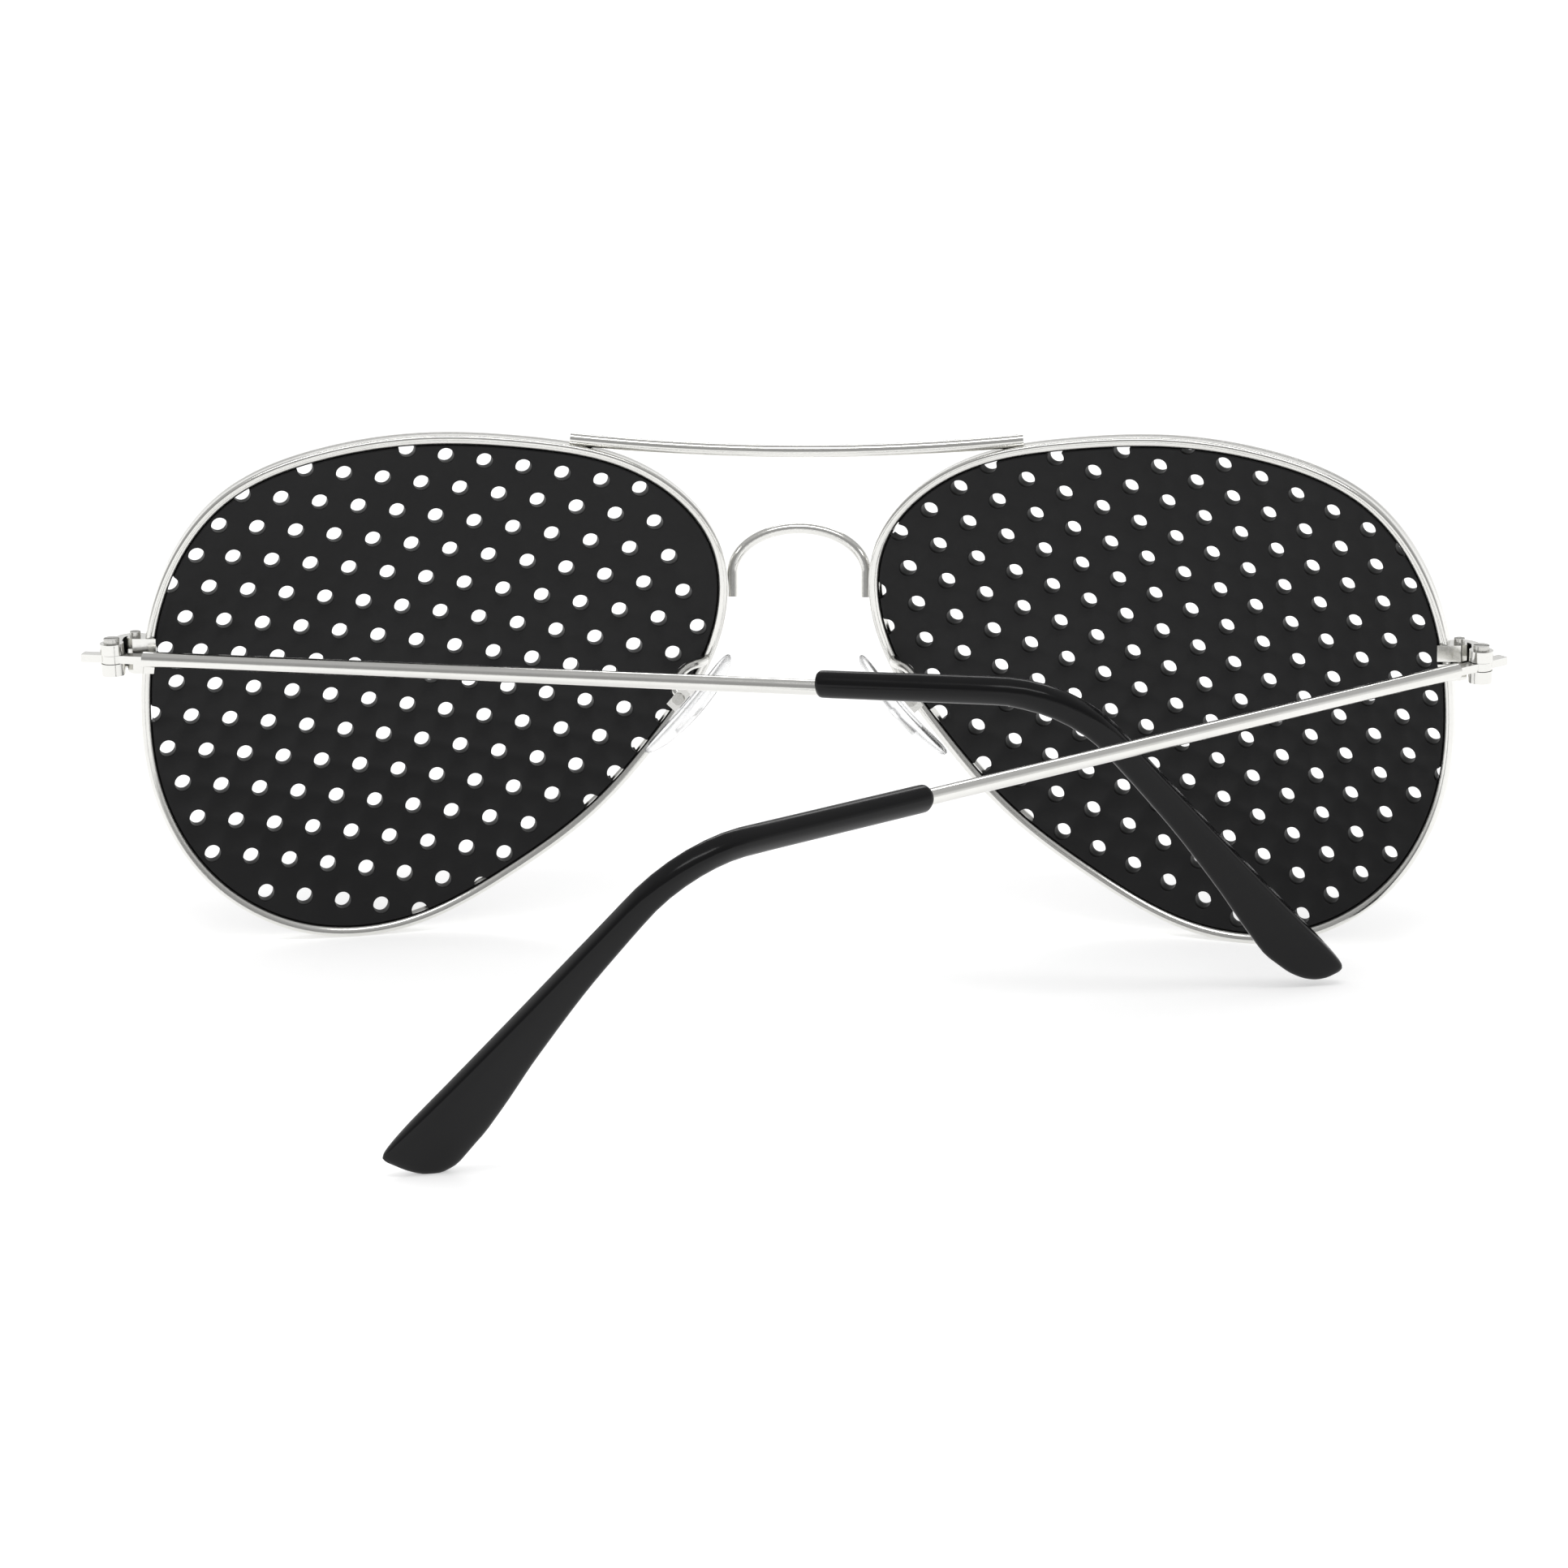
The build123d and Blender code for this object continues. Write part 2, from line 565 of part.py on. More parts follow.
# Pad arm: a bent wire with the box brazed on its end
with BuildPart() as pad_arm_right:
    box_back = PAD_PLANE.from_local_coords((0, 0, CAVITY_FLOOR - BOX_WALL / 2))
    with BuildLine() as arm_route:
        Spline(
            (ARM_SEAT_FROM_MIDDLE, -ARM_SEAT_BEHIND, ARM_SEAT_HEIGHT),
            (ARM_SEAT_FROM_MIDDLE + ARM_BOW_OUT, -ARM_BOW_BACK, ARM_SEAT_HEIGHT),
            box_back,
            tangents=[(0, -1, 0), PAD_PLANE.z_dir],
        )
    with BuildSketch(Plane(origin=arm_route.wire() @ 0, z_dir=arm_route.wire() % 0)):
        Circle(ARM_WIRE / 2)
    sweep(path=arm_route.wire())
    add(RIM_ENVELOPE, mode=Mode.SUBTRACT)
    with BuildSketch(PAD_PLANE.offset(-BOX_DEPTH / 2)):
        Rectangle(BOX_SIZE, BOX_SIZE)
    extrude(amount=BOX_DEPTH)
    with BuildSketch(PAD_PLANE.offset(CAVITY_FLOOR)):
        Rectangle(CAVITY, CAVITY)
    extrude(amount=BOX_DEPTH, mode=Mode.SUBTRACT)
    with BuildSketch(SCREW_PLANE.offset(-BOX_SIZE)):
        Circle(PAD_SCREW / 2)
    extrude(amount=BOX_SIZE * 2, mode=Mode.SUBTRACT)
save(pad_arm_right, "pad_arm_right")
save(other_side(pad_arm_right), "pad_arm_left")

# Pad screw, its head on the side that faces the wearer
with BuildPart() as pad_screw_right:
    with BuildSketch(SCREW_PLANE.offset(-BOX_SIZE / 2)):
        Circle(PAD_SCREW / 2)
    extrude(amount=BOX_SIZE)
    with BuildSketch(SCREW_PLANE.offset(BOX_SIZE / 2)):
        Circle(PAD_SCREW_HEAD / 2)
    extrude(amount=PAD_SCREW_HEAD_DEPTH)
    with BuildSketch(SCREW_PLANE.offset(BOX_SIZE / 2 + PAD_SCREW_HEAD_DEPTH - SLOT_DEPTH)):
        Rectangle(PAD_SCREW_HEAD, SLOT_WIDTH)
    extrude(amount=SLOT_DEPTH, mode=Mode.SUBTRACT)
save(pad_screw_right, "pad_screw_right")
save(other_side(pad_screw_right), "pad_screw_left")

# Pad insert: a stiff plate inside the pad with a lug that the pad screw passes through
CORE_BACK = PAD_BACK + (PAD_THICKNESS - CORE_THICKNESS) / 2
LUG_END = CAVITY_FLOOR + LUG_GAP
LUG_DEPTH = CAVITY - LUG_GAP * 2
with BuildPart() as pad_insert_right:
    with BuildSketch(PAD_PLANE.offset(CORE_BACK)):
        with Locations((PAD_SHIFT, 0)):
            RectangleRounded(CORE_LENGTH, CORE_WIDTH, CORE_THICKNESS)
    extrude(amount=CORE_THICKNESS)
    with BuildSketch(PAD_PLANE.offset(LUG_END)):
        Rectangle(LUG_WIDTH, LUG_DEPTH)
    extrude(amount=CORE_BACK - LUG_END)
    with BuildSketch(SCREW_PLANE.offset(-BOX_SIZE)):
        Circle(PAD_SCREW / 2 + RUNNING_GAP)
    extrude(amount=BOX_SIZE * 2, mode=Mode.SUBTRACT)
save(pad_insert_right, "pad_insert_right")
save(other_side(pad_insert_right), "pad_insert_left")

# Nose pad, a clear oval with rounded edges, moulded round the insert
with BuildPart() as nose_pad_right:
    with BuildSketch(PAD_PLANE.offset(PAD_BACK)):
        with Locations((PAD_SHIFT, 0)):
            Ellipse(PAD_LENGTH / 2, PAD_WIDTH / 2)
    extrude(amount=PAD_THICKNESS)
    fillet(nose_pad_right.edges().filter_by(lambda edge: edge.length > PAD_LENGTH), PAD_EDGE)
    add(pad_insert_right.part, mode=Mode.SUBTRACT)
save(nose_pad_right, "nose_pad_right")
save(other_side(nose_pad_right), "nose_pad_left")
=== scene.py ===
"""Looks of the pinhole glasses.

The script adds the camera, the light and the floor, gives every piece its material, and makes the pieces whose
visible form is finer than their solid: lenses with round holes, rounded rims, twisted ear tips and bowed nose
pads.

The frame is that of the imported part: +X to the right of the picture, +Y away from the camera, +Z up. Sizes are
written in millimetres, and MM turns them into Blender's metres.
"""

import json
from math import cos, hypot, pi, radians, sin, sqrt, tan
from typing import NamedTuple

import bmesh
import bpy
import numpy as np
from mathutils import Matrix, Vector
from mathutils.geometry import delaunay_2d_cdt


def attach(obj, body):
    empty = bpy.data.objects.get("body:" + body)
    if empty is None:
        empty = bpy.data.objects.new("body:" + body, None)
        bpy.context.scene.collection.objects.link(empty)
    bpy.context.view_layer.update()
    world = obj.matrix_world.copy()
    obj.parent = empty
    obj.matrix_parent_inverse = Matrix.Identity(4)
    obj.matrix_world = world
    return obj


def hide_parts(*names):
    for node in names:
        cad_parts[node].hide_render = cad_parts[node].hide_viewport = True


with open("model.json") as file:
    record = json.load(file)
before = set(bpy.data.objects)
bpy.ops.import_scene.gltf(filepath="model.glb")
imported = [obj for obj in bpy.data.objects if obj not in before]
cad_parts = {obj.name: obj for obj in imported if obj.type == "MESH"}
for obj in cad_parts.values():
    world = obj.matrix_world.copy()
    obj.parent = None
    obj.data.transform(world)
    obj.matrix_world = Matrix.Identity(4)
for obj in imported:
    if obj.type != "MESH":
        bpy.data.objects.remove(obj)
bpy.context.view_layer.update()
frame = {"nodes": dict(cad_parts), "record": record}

MM = 0.001
SIDES = ("left", "right")

# Camera: where it stands, how it is turned (radians), and its lens
CAMERA_PLACE = Vector((57.372, -800.0, 243.062)) * MM
CAMERA_YAW = 0.07382
CAMERA_PITCH = -0.27772
CAMERA_ROLL = 0.01396
CAMERA_LENS = 189.26
CAMERA_SENSOR = 36.0
CAMERA_CLIP = (0.01, 20.0)


def add_object(name, data):
    made = bpy.data.objects.new(name, data)
    bpy.context.scene.collection.objects.link(made)
    return made


camera_data = bpy.data.cameras.new("photo_camera")
camera_data.lens = CAMERA_LENS
camera_data.sensor_width = CAMERA_SENSOR
camera_data.clip_start, camera_data.clip_end = CAMERA_CLIP
camera = add_object("photo_camera", camera_data)
turn = (
    Matrix.Rotation(CAMERA_YAW, 4, "Z")
    @ Matrix.Rotation(CAMERA_PITCH, 4, "X")
    @ Matrix.Rotation(CAMERA_ROLL, 4, "Y")
    @ Matrix.Rotation(pi / 2, 4, "X")
)
camera.matrix_world = Matrix.Translation(CAMERA_PLACE) @ turn
bpy.context.scene.camera = camera
bpy.context.scene.view_settings.view_transform = "Standard"


# Node helpers
class Tree:
    """A material's or world's node tree, built call by call."""

    def __init__(self, owner):
        owner.use_nodes = True
        self.tree = owner.node_tree
        self.tree.nodes.clear()

    def node(self, kind, inputs=None, **settings):
        made = self.tree.nodes.new(kind)
        for name, value in settings.items():
            setattr(made, name, value)
        for socket, value in (inputs or {}).items():
            if isinstance(value, bpy.types.NodeSocket):
                self.tree.links.new(value, made.inputs[socket])
            else:
                made.inputs[socket].default_value = value
        return made

    def math(self, operation, *values):
        return self.node("ShaderNodeMath", dict(enumerate(values)), operation=operation).outputs[0]

    def noise(self, vector, scale, detail, roughness):
        inputs = {"Vector": vector, "Scale": scale, "Detail": detail, "Roughness": roughness}
        return self.node("ShaderNodeTexNoise", inputs).outputs["Fac"]

    def between(self, value, low, high, start=0.3, end=0.7):
        """Low where value is at start, high where it is at end."""
        inputs = {"Value": value, "From Min": start, "From Max": end, "To Min": low, "To Max": high}
        return self.node("ShaderNodeMapRange", inputs).outputs["Result"]

    def mix(self, share, first, second):
        inputs = {0: share, 2: first, 3: second}
        return self.node("ShaderNodeMix", inputs, data_type="FLOAT").outputs[0]

    def blend(self, share, first, second):
        made = self.node("ShaderNodeMix", {0: share}, data_type="RGBA")
        for socket, colour in zip([s for s in made.inputs if s.type == "RGBA"], (first, second)):
            socket.default_value = (*colour, 1.0)
        return [s for s in made.outputs if s.type == "RGBA"][0]

    def bump(self, height, strength, distance):
        inputs = {"Height": height, "Strength": strength, "Distance": distance}
        return self.node("ShaderNodeBump", inputs).outputs["Normal"]

    def place(self):
        return self.node("ShaderNodeTexCoord").outputs["Object"]

    def feed(self, target, **sources):
        for socket, source in sources.items():
            self.tree.links.new(source, target.inputs[socket.replace("_", " ")])


def surface(name, **constants):
    """A new material with one Principled shader, and its tree."""
    made = bpy.data.materials.new(name)
    tree = Tree(made)
    shader = tree.node("ShaderNodeBsdfPrincipled", constants)
    output = tree.node("ShaderNodeOutputMaterial")
    tree.feed(output, Surface=shader.outputs[0])
    return made, tree, shader


# Materials. Noise scales are per metre, and each pair is what the noise blends between.
FINE_BUMP = 0.00002
RIPPLE_BUMP = 0.00005
WHITE = (1.0, 1.0, 1.0)


def metal_material(name, bright, dull, roughness, grain):
    """Plated wire: faint cloudiness in the plating, fine drawing marks and tiny pits."""
    made, tree, shader = surface(name, Metallic=1.0, IOR=2.5)
    at = tree.place()
    cloud = tree.noise(at, scale=220.0, detail=3.0, roughness=0.5)
    marks = tree.noise(at, scale=grain, detail=6.0, roughness=0.7)
    tree.feed(
        shader,
        Base_Color=tree.blend(cloud, bright, dull),
        Roughness=tree.between(marks, *roughness),
        Normal=tree.bump(marks, 0.12, FINE_BUMP),
    )
    return made


def black_material(name, deep, pale, roughness, grain, relief, gloss):
    """Moulded black plastic: very fine spark texture, slight tone variation, uneven sheen."""
    made, tree, shader = surface(name, IOR=1.5, **{"Specular IOR Level": gloss})
    at = tree.place()
    tone = tree.noise(at, scale=90.0, detail=5.0, roughness=0.6)
    sheen = tree.noise(at, scale=300.0, detail=4.0, roughness=0.6)
    fine = tree.noise(at, scale=grain, detail=2.0, roughness=0.6)
    tree.feed(
        shader,
        Base_Color=tree.blend(tone, deep, pale),
        Roughness=tree.between(sheen, *roughness),
        Normal=tree.bump(fine, relief, FINE_BUMP),
    )
    return made


def clear_material(name, tint, roughness, ior):
    """Clear moulded plastic with faint flow ripples and handling haze."""
    made, tree, shader = surface(name, IOR=ior, **{"Transmission Weight": 1.0})
    at = tree.place()
    haze = tree.noise(at, scale=500.0, detail=4.0, roughness=0.6)
    ripple = tree.noise(at, scale=260.0, detail=2.0, roughness=0.4)
    tree.feed(
        shader,
        Base_Color=tree.blend(haze, tint, WHITE),
        Roughness=tree.between(haze, *roughness),
        Normal=tree.bump(ripple, 0.05, RIPPLE_BUMP),
    )
    return made


wire_metal = metal_material(
    "wire_metal", bright=(0.82, 0.815, 0.79), dull=(0.75, 0.745, 0.715), roughness=(0.12, 0.22), grain=2600.0
)
screw_metal = metal_material(
    "screw_metal", bright=(0.66, 0.655, 0.63), dull=(0.52, 0.515, 0.49), roughness=(0.18, 0.32), grain=4200.0
)
lens_black = black_material(
    "lens_black",
    deep=(0.013, 0.013, 0.0135),
    pale=(0.019, 0.019, 0.0195),
    roughness=(0.32, 0.44),
    grain=5200.0,
    relief=0.3,
    gloss=0.16,
)
# Hole walls: the same black plastic as the lens face, painted far darker and given little gloss, as painted
# shade inside the holes
hole_wall_painted_shade = black_material(
    "hole_wall_painted_shade",
    deep=(0.0005, 0.0005, 0.0005),
    pale=(0.001, 0.001, 0.001),
    roughness=(0.34, 0.46),
    grain=5200.0,
    relief=0.1,
    gloss=0.025,
)
tip_black = black_material(
    "tip_black",
    deep=(0.003, 0.003, 0.0035),
    pale=(0.006, 0.006, 0.0065),
    roughness=(0.14, 0.24),
    grain=4200.0,
    relief=0.10,
    gloss=0.22,
)
pad_clear = clear_material("pad_clear", tint=(0.97, 0.975, 0.98), roughness=(0.20, 0.28), ior=1.22)
pad_insert = clear_material("pad_insert", tint=(0.97, 0.975, 0.98), roughness=(0.02, 0.06), ior=1.12)

SLOTS = {
    "wire_metal": wire_metal,
    "screw_steel": screw_metal,
    "lens_black": lens_black,
    "tip_black": tip_black,
    "pad_clear": pad_clear,
    "pad_insert": pad_insert,
}
slot_of = {row["node"]: row["material_slot"] for row in frame["record"]["subparts"]}
for name, node in frame["nodes"].items():
    node.data.materials.clear()
    node.data.materials.append(SLOTS[slot_of[name]])


# Mesh helpers
def side_sign(side):
    return 1 if side == "right" else -1


def to_side(sign, place):
    """A place on the wearer's right in millimetres, put on the wanted side and in metres."""
    return Vector((sign * place.x, place.y, place.z)) * MM


def turned(vector, axis, degrees):
    return Matrix.Rotation(radians(degrees), 3, axis) @ vector


def skin(mesh, rings):
    """Faces between rings of as many vertices each, and over both ends."""
    for first, second in zip(rings, rings[1:]):
        for j in range(len(first)):
            k = (j + 1) % len(first)
            mesh.faces.new((first[j], first[k], second[k], second[j]))
    mesh.faces.new(reversed(rings[0]))
    mesh.faces.new(rings[-1])


def finished_piece(name, mesh, sharp_degrees, *materials):
    """A smooth-shaded object from a bmesh, with edges sharper than the angle kept."""
    bmesh.ops.recalc_face_normals(mesh, faces=mesh.faces)
    data = bpy.data.meshes.new(name)
    mesh.to_mesh(data)
    mesh.free()
    for face in data.polygons:
        face.use_smooth = True
    data.set_sharp_from_angle(angle=radians(sharp_degrees))
    for material in materials:
        data.materials.append(material)
    return add_object(name, data)


# The opening that the rims and lenses share: its size, its middle against the lens apex, and its outline as
# shares of the size, outwards and up, counter-clockwise
OPENING_WIDTH = 57.0
OPENING_HEIGHT = 48.9
OPENING_OUT = -0.23
OPENING_DROP = 3.27
OPENING_SHARES = [
    (0.464, 0.224), (0.358, 0.396), (0.188, 0.476), (0.005, 0.5),
    (-0.179, 0.487), (-0.358, 0.437), (-0.485, 0.289), (-0.481, 0.079),
    (-0.389, -0.108), (-0.268, -0.269), (-0.118, -0.394), (0.049, -0.484),
    (0.232, -0.489), (0.391, -0.384), (0.482, -0.2), (0.499, 0.013),
]
OUTLINE_STEPS = 14
# The rim's wall around the opening, the place of the lens apex, how far the front wraps around the face, and the
# lens's curve and thickness
RIM_WALL = 1.1
LENS_FROM_MIDDLE = 37.35
LENS_HEIGHT = OPENING_HEIGHT / 2 + OPENING_DROP + RIM_WALL
WRAP = radians(8.53)
BASE_RADIUS = 79.0
LENS_RECESS = 0.15
LENS_THICKNESS = 2.05


def opening_outline():
    """Points and outward normals on the closed smooth curve through the outline's corner points."""
    knots = np.array([
        (OPENING_OUT + OPENING_WIDTH * across, -OPENING_DROP + OPENING_HEIGHT * up)
        for across, up in OPENING_SHARES
    ])
    count = len(knots)
    gaps = np.linalg.norm(np.roll(knots, -1, 0) - knots, axis=1)
    # second derivatives of the periodic cubic spline
    system = np.zeros((count, count))
    right_side = np.zeros((count, 2))
    for i in range(count):
        j, before, after = (i + 1) % count, gaps[i - 1], gaps[i]
        system[i, i - 1] += before
        system[i, i] += 2 * (before + after)
        system[i, j] += after
        right_side[i] = 6 * ((knots[j] - knots[i]) / after - (knots[i] - knots[i - 1]) / before)
    bends = np.linalg.solve(system, right_side)
    places, ways = [], []
    for i in range(count):
        j, gap = (i + 1) % count, gaps[i]
        for step in range(OUTLINE_STEPS):
            t = gap * step / OUTLINE_STEPS
            slope = (knots[j] - knots[i]) / gap - gap * (2 * bends[i] + bends[j]) / 6
            rise = (bends[j] - bends[i]) / (6 * gap)
            places.append(knots[i] + slope * t + bends[i] * t**2 / 2 + rise * t**3)
            ways.append(slope + bends[i] * t + 3 * rise * t**2)
    places, ways = np.array(places), np.array(ways)
    ways /= np.linalg.norm(ways, axis=1)[:, None]
    return places, np.stack([ways[:, 1], -ways[:, 0]], 1)


def lens_point(sign, u, v, depth):
    """A point of the lens in the frame, in metres: u outwards, v up, depth from the back face forwards."""
    back = BASE_RADIUS - sqrt((BASE_RADIUS + LENS_RECESS) ** 2 - u**2 - v**2)
    front = BASE_RADIUS - sqrt((BASE_RADIUS + LENS_RECESS + LENS_THICKNESS) ** 2 - u**2 - v**2)
    behind = back + (front - back) * depth / LENS_THICKNESS
    x = LENS_FROM_MIDDLE + u * cos(WRAP) - behind * sin(WRAP)
    y = -u * sin(WRAP) - behind * cos(WRAP)
    return to_side(sign, Vector((x, y, LENS_HEIGHT + v)))


# Lenses: a curved black plate per side, with round moulded holes and the tongue that sits in the rim's groove
HOLE_RADIUS = 0.82
HOLE_POINTS = 28
LENS_SHARP_DEGREES = 38


class Lattice(NamedTuple):
    """Where a lens has its holes, in the lens plane with x to the right of the picture."""

    first: tuple
    next_hole: tuple
    next_row: tuple
    drift: tuple  # of a hole for each millimetre of depth
    without: tuple  # holes of the lattice that the lens doesn't have, as row and step


LATTICES = {
    "left": Lattice((-1.395, 0.383), (3.869, -0.699), (1.380, -3.646), (-0.0606, -0.0787), ((-5, 9), (-4, 9))),
    "right": Lattice((-0.999, 1.651), (3.661, -1.503), (0.704, -3.812), (0.0, 0.0), ()),
}
# A hole that would all but touch the plate's edge is moved in, to keep this much between them
HOLE_MARGIN = 0.2
# A hole whose middle is outside the plate still cuts it if it is this near, as a share of its radius
CUT_IN_SHARE = 0.6
# How the plate's edge and a hole's wall run from back to front: distance outwards, depth
EDGE_PROFILE = [
    (-0.07, 0.0), (0.04, 0.1), (0.04, 0.6), (0.35, 0.62),
    (0.35, 1.42), (0.04, 1.44), (0.04, 1.95), (-0.07, 2.05),
]
HOLE_PROFILE = [
    (0.06, 0.0), (0.018, 0.018), (0.0, 0.06), (0.0, 0.7),
    (0.0, 1.4), (0.0, 1.99), (0.018, 2.032), (0.06, 2.05),
]
HOLE_MOUTH = HOLE_RADIUS + HOLE_PROFILE[0][0]
# Points of the plate that are nearer to each other than this count as one
SAME_POINT = 1e-4


def hole_centres(side, outline, normals):
    sign = side_sign(side)
    lattice = LATTICES[side]
    most = int(OPENING_WIDTH / hypot(*lattice.next_row))
    far = OPENING_WIDTH / 2 + 2 * HOLE_RADIUS
    centres = []
    for row in range(-most, most + 1):
        for step in range(-most, most + 1):
            x = sign * (lattice.first[0] + step * lattice.next_hole[0] + row * lattice.next_row[0])
            y = lattice.first[1] + step * lattice.next_hole[1] + row * lattice.next_row[1]
            gaps = np.hypot(outline[:, 0] - x, outline[:, 1] - y)
            nearest = int(np.argmin(gaps))
            gap = gaps[nearest]
            inside = (outline[nearest] - (x, y)) @ normals[nearest] > 0
            cuts = inside or gap < HOLE_RADIUS * CUT_IN_SHARE
            if (row, step) in lattice.without or hypot(x, y) >= far or not cuts:
                continue
            shift = HOLE_MOUTH + HOLE_MARGIN - gap
            if inside and 0 < shift < 2 * HOLE_MARGIN:
                x, y = (x, y) - normals[nearest] * shift
            centres.append(Vector((x, y)))
    return centres


def lens_plate(side):
    sign = side_sign(side)
    drift = LATTICES[side].drift
    outline, normals = opening_outline()
    centres = hole_centres(side, outline, normals)
    points = [Vector(tuple(p + n * EDGE_PROFILE[0][0])) for p, n in zip(outline, normals)]
    faces = [list(range(len(points)))]
    hole_of_point = {}
    for number, centre in enumerate(centres):
        ring = []
        for k in range(HOLE_POINTS):
            a = 2 * pi * k / HOLE_POINTS
            hole_of_point[len(points)] = number
            ring.append(len(points))
            points.append(centre + Vector((cos(a), sin(a))) * HOLE_MOUTH)
        faces.append(ring)
    # triangles that lie in the outline and in none of the holes
    flat, _, triangles, came_from, _, inside_of = delaunay_2d_cdt(points, [], faces, 0, SAME_POINT, True)
    kept = [t for t, owners in zip(triangles, inside_of) if list(owners) == [0]]
    used = sorted({i for t in kept for i in t})
    # each vertex follows its hole's wall or the plate's edge
    rule = {}
    for i in used:
        sources = list(came_from[i])
        holes = [hole_of_point[k] for k in sources if k in hole_of_point]
        if holes and not any(k < len(outline) for k in sources):
            rule[i] = ("hole", centres[holes[0]])
        else:
            nearest = int(np.argmin(np.hypot(outline[:, 0] - flat[i].x, outline[:, 1] - flat[i].y)))
            rule[i] = ("edge", Vector(normals[nearest]))
    mesh = bmesh.new()
    levels = []
    for (edge_spread, edge_depth), (hole_spread, hole_depth) in zip(EDGE_PROFILE, HOLE_PROFILE):
        level = {}
        for i in used:
            kind, about = rule[i]
            if kind == "hole":
                depth = hole_depth
                spot = about + (flat[i] - about).normalized() * (HOLE_RADIUS + hole_spread)
                spot = spot + Vector((sign * drift[0], drift[1])) * depth
            else:
                depth = edge_depth
                spot = flat[i] + about * (edge_spread - EDGE_PROFILE[0][0])
            level[i] = mesh.verts.new(lens_point(sign, spot.x, spot.y, depth))
        levels.append(level)
    for t in kept:
        mesh.faces.new([levels[0][i] for i in t])
        mesh.faces.new([levels[-1][i] for i in reversed(t)])
    # walls stand on the edges that only one triangle has
    edges = [pair for t in kept for pair in zip(t, (*t[1:], t[0]))]
    known = set(edges)
    for a, b in edges:
        if (b, a) in known:
            continue
        for number, (behind, before) in enumerate(zip(levels, levels[1:])):
            wall = mesh.faces.new((behind[b], behind[a], before[a], before[b]))
            # hole walls below their rounded mouths take the second material, painted darker as shade
            in_hole = rule[a][0] == "hole" and 0 < number < len(levels) - 2
            wall.material_index = int(in_hole)
    plate = finished_piece(f"lens_plate_{side}", mesh, LENS_SHARP_DEGREES, lens_black, hole_wall_painted_shade)
    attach(plate, "front")
    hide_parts(f"lens_{side}")


for side in SIDES:
    lens_plate(side)

# Rims: a rolled wire, rounded at its back and front and hollowed a little outside, with the groove that holds
# the lens and the slit between the halves of the closing block
RIM_INSIDE = 0.12
RIM_OUTSIDE = RIM_WALL
RIM_BACK = -0.15
RIM_FRONT = 2.2
RIM_ROUNDING = 0.36
RIM_ROUND_STEPS = 9
RIM_WAIST = 0.06
RIM_WAIST_STEPS = (-0.5, -0.3, -0.1, 0.1, 0.3, 0.5)
RIM_GROOVE = [(0.45, 1.48), (0.45, 0.56)]
RIM_GROOVE_LIP = 0.02
RIM_SLIT_HALF = 0.15
RIM_SHARP_DEGREES = 50
HINGE_HEIGHT = 30.0
SLIT_HEIGHT = HINGE_HEIGHT - LENS_HEIGHT


def rim_section():
    """The rim's section as outward distance and depth, once round."""
    middle = (RIM_INSIDE + RIM_OUTSIDE) / 2
    half = (RIM_OUTSIDE - RIM_INSIDE) / 2
    waist = (RIM_BACK + RIM_FRONT) / 2
    arc = [pi * k / (RIM_ROUND_STEPS - 1) for k in range(RIM_ROUND_STEPS)]
    back = [(middle - half * cos(a), RIM_BACK + RIM_ROUNDING * (1 - sin(a))) for a in arc]
    outside = [(RIM_OUTSIDE - RIM_WAIST * cos(pi * step), waist + step) for step in RIM_WAIST_STEPS]
    front = [(middle + half * cos(a), RIM_FRONT - RIM_ROUNDING * (1 - sin(a))) for a in arc]
    first, last = RIM_GROOVE
    groove = [(RIM_INSIDE, first[1] + RIM_GROOVE_LIP), first, last, (RIM_INSIDE, last[1] - RIM_GROOVE_LIP)]
    return back + outside + front + groove


def rim_wire(side):
    sign = side_sign(side)
    outline, normals = opening_outline()
    # the outline's first point lies just above the slit on the outer side, and its last one just below
    heights = outline[:, 1]
    above = next(
        i for i in range(len(outline))
        if outline[i, 0] > 0 and heights[i - 1] < SLIT_HEIGHT <= heights[i]
    )
    outline, normals = np.roll(outline, -above, 0), np.roll(normals, -above, 0)

    def at_height(height):
        share = (height - outline[-1, 1]) / (outline[0, 1] - outline[-1, 1])
        return (
            outline[-1] + (outline[0] - outline[-1]) * share,
            normals[-1] + (normals[0] - normals[-1]) * share,
        )

    stops = [
        at_height(SLIT_HEIGHT + RIM_SLIT_HALF),
        *zip(outline, normals),
        at_height(SLIT_HEIGHT - RIM_SLIT_HALF),
    ]
    section = rim_section()
    mesh = bmesh.new()
    rings = []
    for place, normal in stops:
        ring = []
        for out, depth in section:
            u, v = place + normal * out
            ring.append(mesh.verts.new(lens_point(sign, u, v, depth)))
        rings.append(ring)
    skin(mesh, rings)
    piece = finished_piece(f"rim_wire_{side}", mesh, RIM_SHARP_DEGREES, wire_metal)
    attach(piece, "front")
    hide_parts(f"rim_{side}")


# Moulded ear tips: a round sleeve that bends behind the ear and widens into a flat, twisted blade.
# The temple turns on a pin that leans outwards, and its wire dips a little; angles are in degrees.
PIN_PLACE = Vector((68.2, -10.32, HINGE_HEIGHT))
PIN_LEAN_OUT = 1.95
TEMPLE_DIP = 0.57
TIP_START = 74.4
TIP_TILT = 33.5
TIP_BEND = 64.0
TIP_BEND_RADIUS = 11.0
TIP_TWIST = 30.0
TIP_THICKNESS = 2.3
TIP_SHARP_DEGREES = 50


class TipShape(NamedTuple):
    """What differs between the two tips."""

    fold: float
    corner: float  # where the bend's corner lies along the temple
    rise_start: float  # of the middle line over the temple's own, at the sleeve's start
    rise_bend: float  # and at the bend
    leg: float  # from the corner to the end
    girth: float  # factor on the sleeve's width
    widening: float  # factor on what the blade adds to that width
    fullness: float  # factor on the lower width at the very end
    bow: float  # how far the end bows back from the lens


